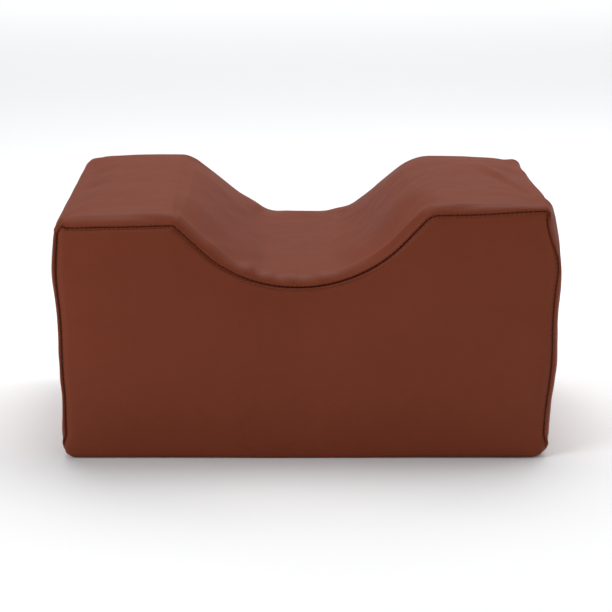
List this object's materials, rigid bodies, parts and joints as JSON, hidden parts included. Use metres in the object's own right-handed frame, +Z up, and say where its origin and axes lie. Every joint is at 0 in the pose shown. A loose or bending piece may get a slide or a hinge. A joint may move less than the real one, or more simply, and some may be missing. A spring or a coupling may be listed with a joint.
{
  "type": "contoured neck bolster pillow",
  "caption": "Block-shaped spa neck pillow with a rounded valley across its top: a cut foam core in a sewn artificial-leather cover that closes with a coil zip.",
  "frame": {"origin": "on the table under the middle of the pillow, at the centre of its flat base", "axes": "+X along the pillow's long side, towards the zip's closed end; -Y towards the front face, the valley runs along Y; +Z up"},
  "size_m": [0.3, 0.2026, 0.152],
  "materials": {
    "leather": "brown artificial leather, fine grain, low sheen",
    "foam": "open-cell polyurethane foam, cream",
    "thread": "dark brown bonded polyester thread",
    "zip_tape": "brown woven polyester tape",
    "zip_coil": "brown nylon coil",
    "zip_metal": "antique brass plate"
  },
  "bodies": {
    "pillow": {"foam_core": "foam", "front_panel": "leather", "back_upper_panel": "leather", "back_lower_panel": "leather", "boxing_band": "leather", "bottom_panel": "leather", "front_seam_thread": "thread", "back_seam_thread": "thread", "base_seam_thread_left": "thread", "base_seam_thread_right": "thread", "hem_thread_upper": "thread", "hem_thread_lower": "thread", "zip_tape_upper": "zip_tape", "zip_tape_lower": "zip_tape", "zip_coil_upper": "zip_coil", "zip_coil_lower": "zip_coil", "zip_top_stop_upper": "zip_metal", "zip_top_stop_lower": "zip_metal", "zip_bottom_stop": "zip_metal"},
    "slider": {"zip_slider": "zip_metal"},
    "pull": {"zip_pull": "zip_metal"}
  },
  "joints": [
    {"name": "zip_slide", "type": "slide", "parent": "pillow", "child": "slider", "axis": [1, 0, 0], "range_m": [-0.2254, 0], "deforming": ["zip_coil_upper", "zip_coil_lower"]},
    {"name": "pull_swing", "type": "hinge", "parent": "slider", "child": "pull", "pos_m": [0.1127, 0.101, 0.034], "axis": [0, 0, -1], "range_deg": [0, 180]}
  ]
}
